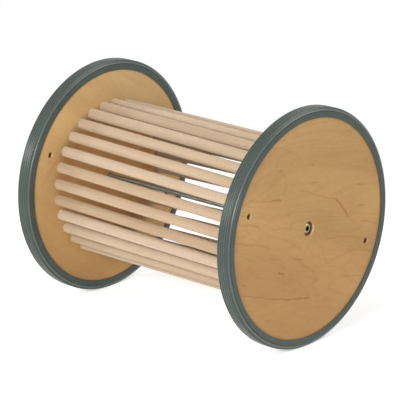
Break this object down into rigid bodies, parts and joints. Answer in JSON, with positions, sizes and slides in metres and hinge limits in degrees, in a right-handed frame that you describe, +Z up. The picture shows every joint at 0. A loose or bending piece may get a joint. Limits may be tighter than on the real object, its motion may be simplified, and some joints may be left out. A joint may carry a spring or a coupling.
{
  "type": "balance roller",
  "caption": "Balance roller for exercise: two plywood discs in ribbed rubber tyres, held apart by a ring of round dowels and drawn together by a central tie rod.",
  "frame": {"origin": "on the floor under the middle of the roller, halfway between the discs and straight below the axis", "axes": "+X runs along the roller's axis from the left disc to the right disc, +Z is up, +Y points back"},
  "size_m": [0.528, 0.4494, 0.4495],
  "materials": {
    "birch_plywood": "clear satin lacquer",
    "beech": "sanded and oiled",
    "grey_rubber": "moulded satin",
    "zinc_plated_steel": "zinc plated"
  },
  "bodies": {
    "root": {"left_disc": "birch_plywood", "left_tyre": "grey_rubber", "left_sleeve_nut": "zinc_plated_steel", "right_disc": "birch_plywood", "right_tyre": "grey_rubber", "right_sleeve_nut": "zinc_plated_steel", "dowel_01": "beech", "dowel_02": "beech", "dowel_03": "beech", "dowel_04": "beech", "dowel_05": "beech", "dowel_06": "beech", "dowel_07": "beech", "dowel_08": "beech", "dowel_09": "beech", "dowel_10": "beech", "dowel_11": "beech", "dowel_12": "beech", "dowel_13": "beech", "dowel_14": "beech", "dowel_15": "beech", "dowel_16": "beech", "dowel_17": "beech", "dowel_18": "beech", "dowel_19": "beech", "dowel_20": "beech", "dowel_21": "beech", "dowel_22": "beech", "dowel_23": "beech", "dowel_24": "beech", "dowel_25": "beech", "dowel_26": "beech", "dowel_27": "beech", "dowel_28": "beech", "tie_rod": "zinc_plated_steel"}
  },
  "joints": []
}
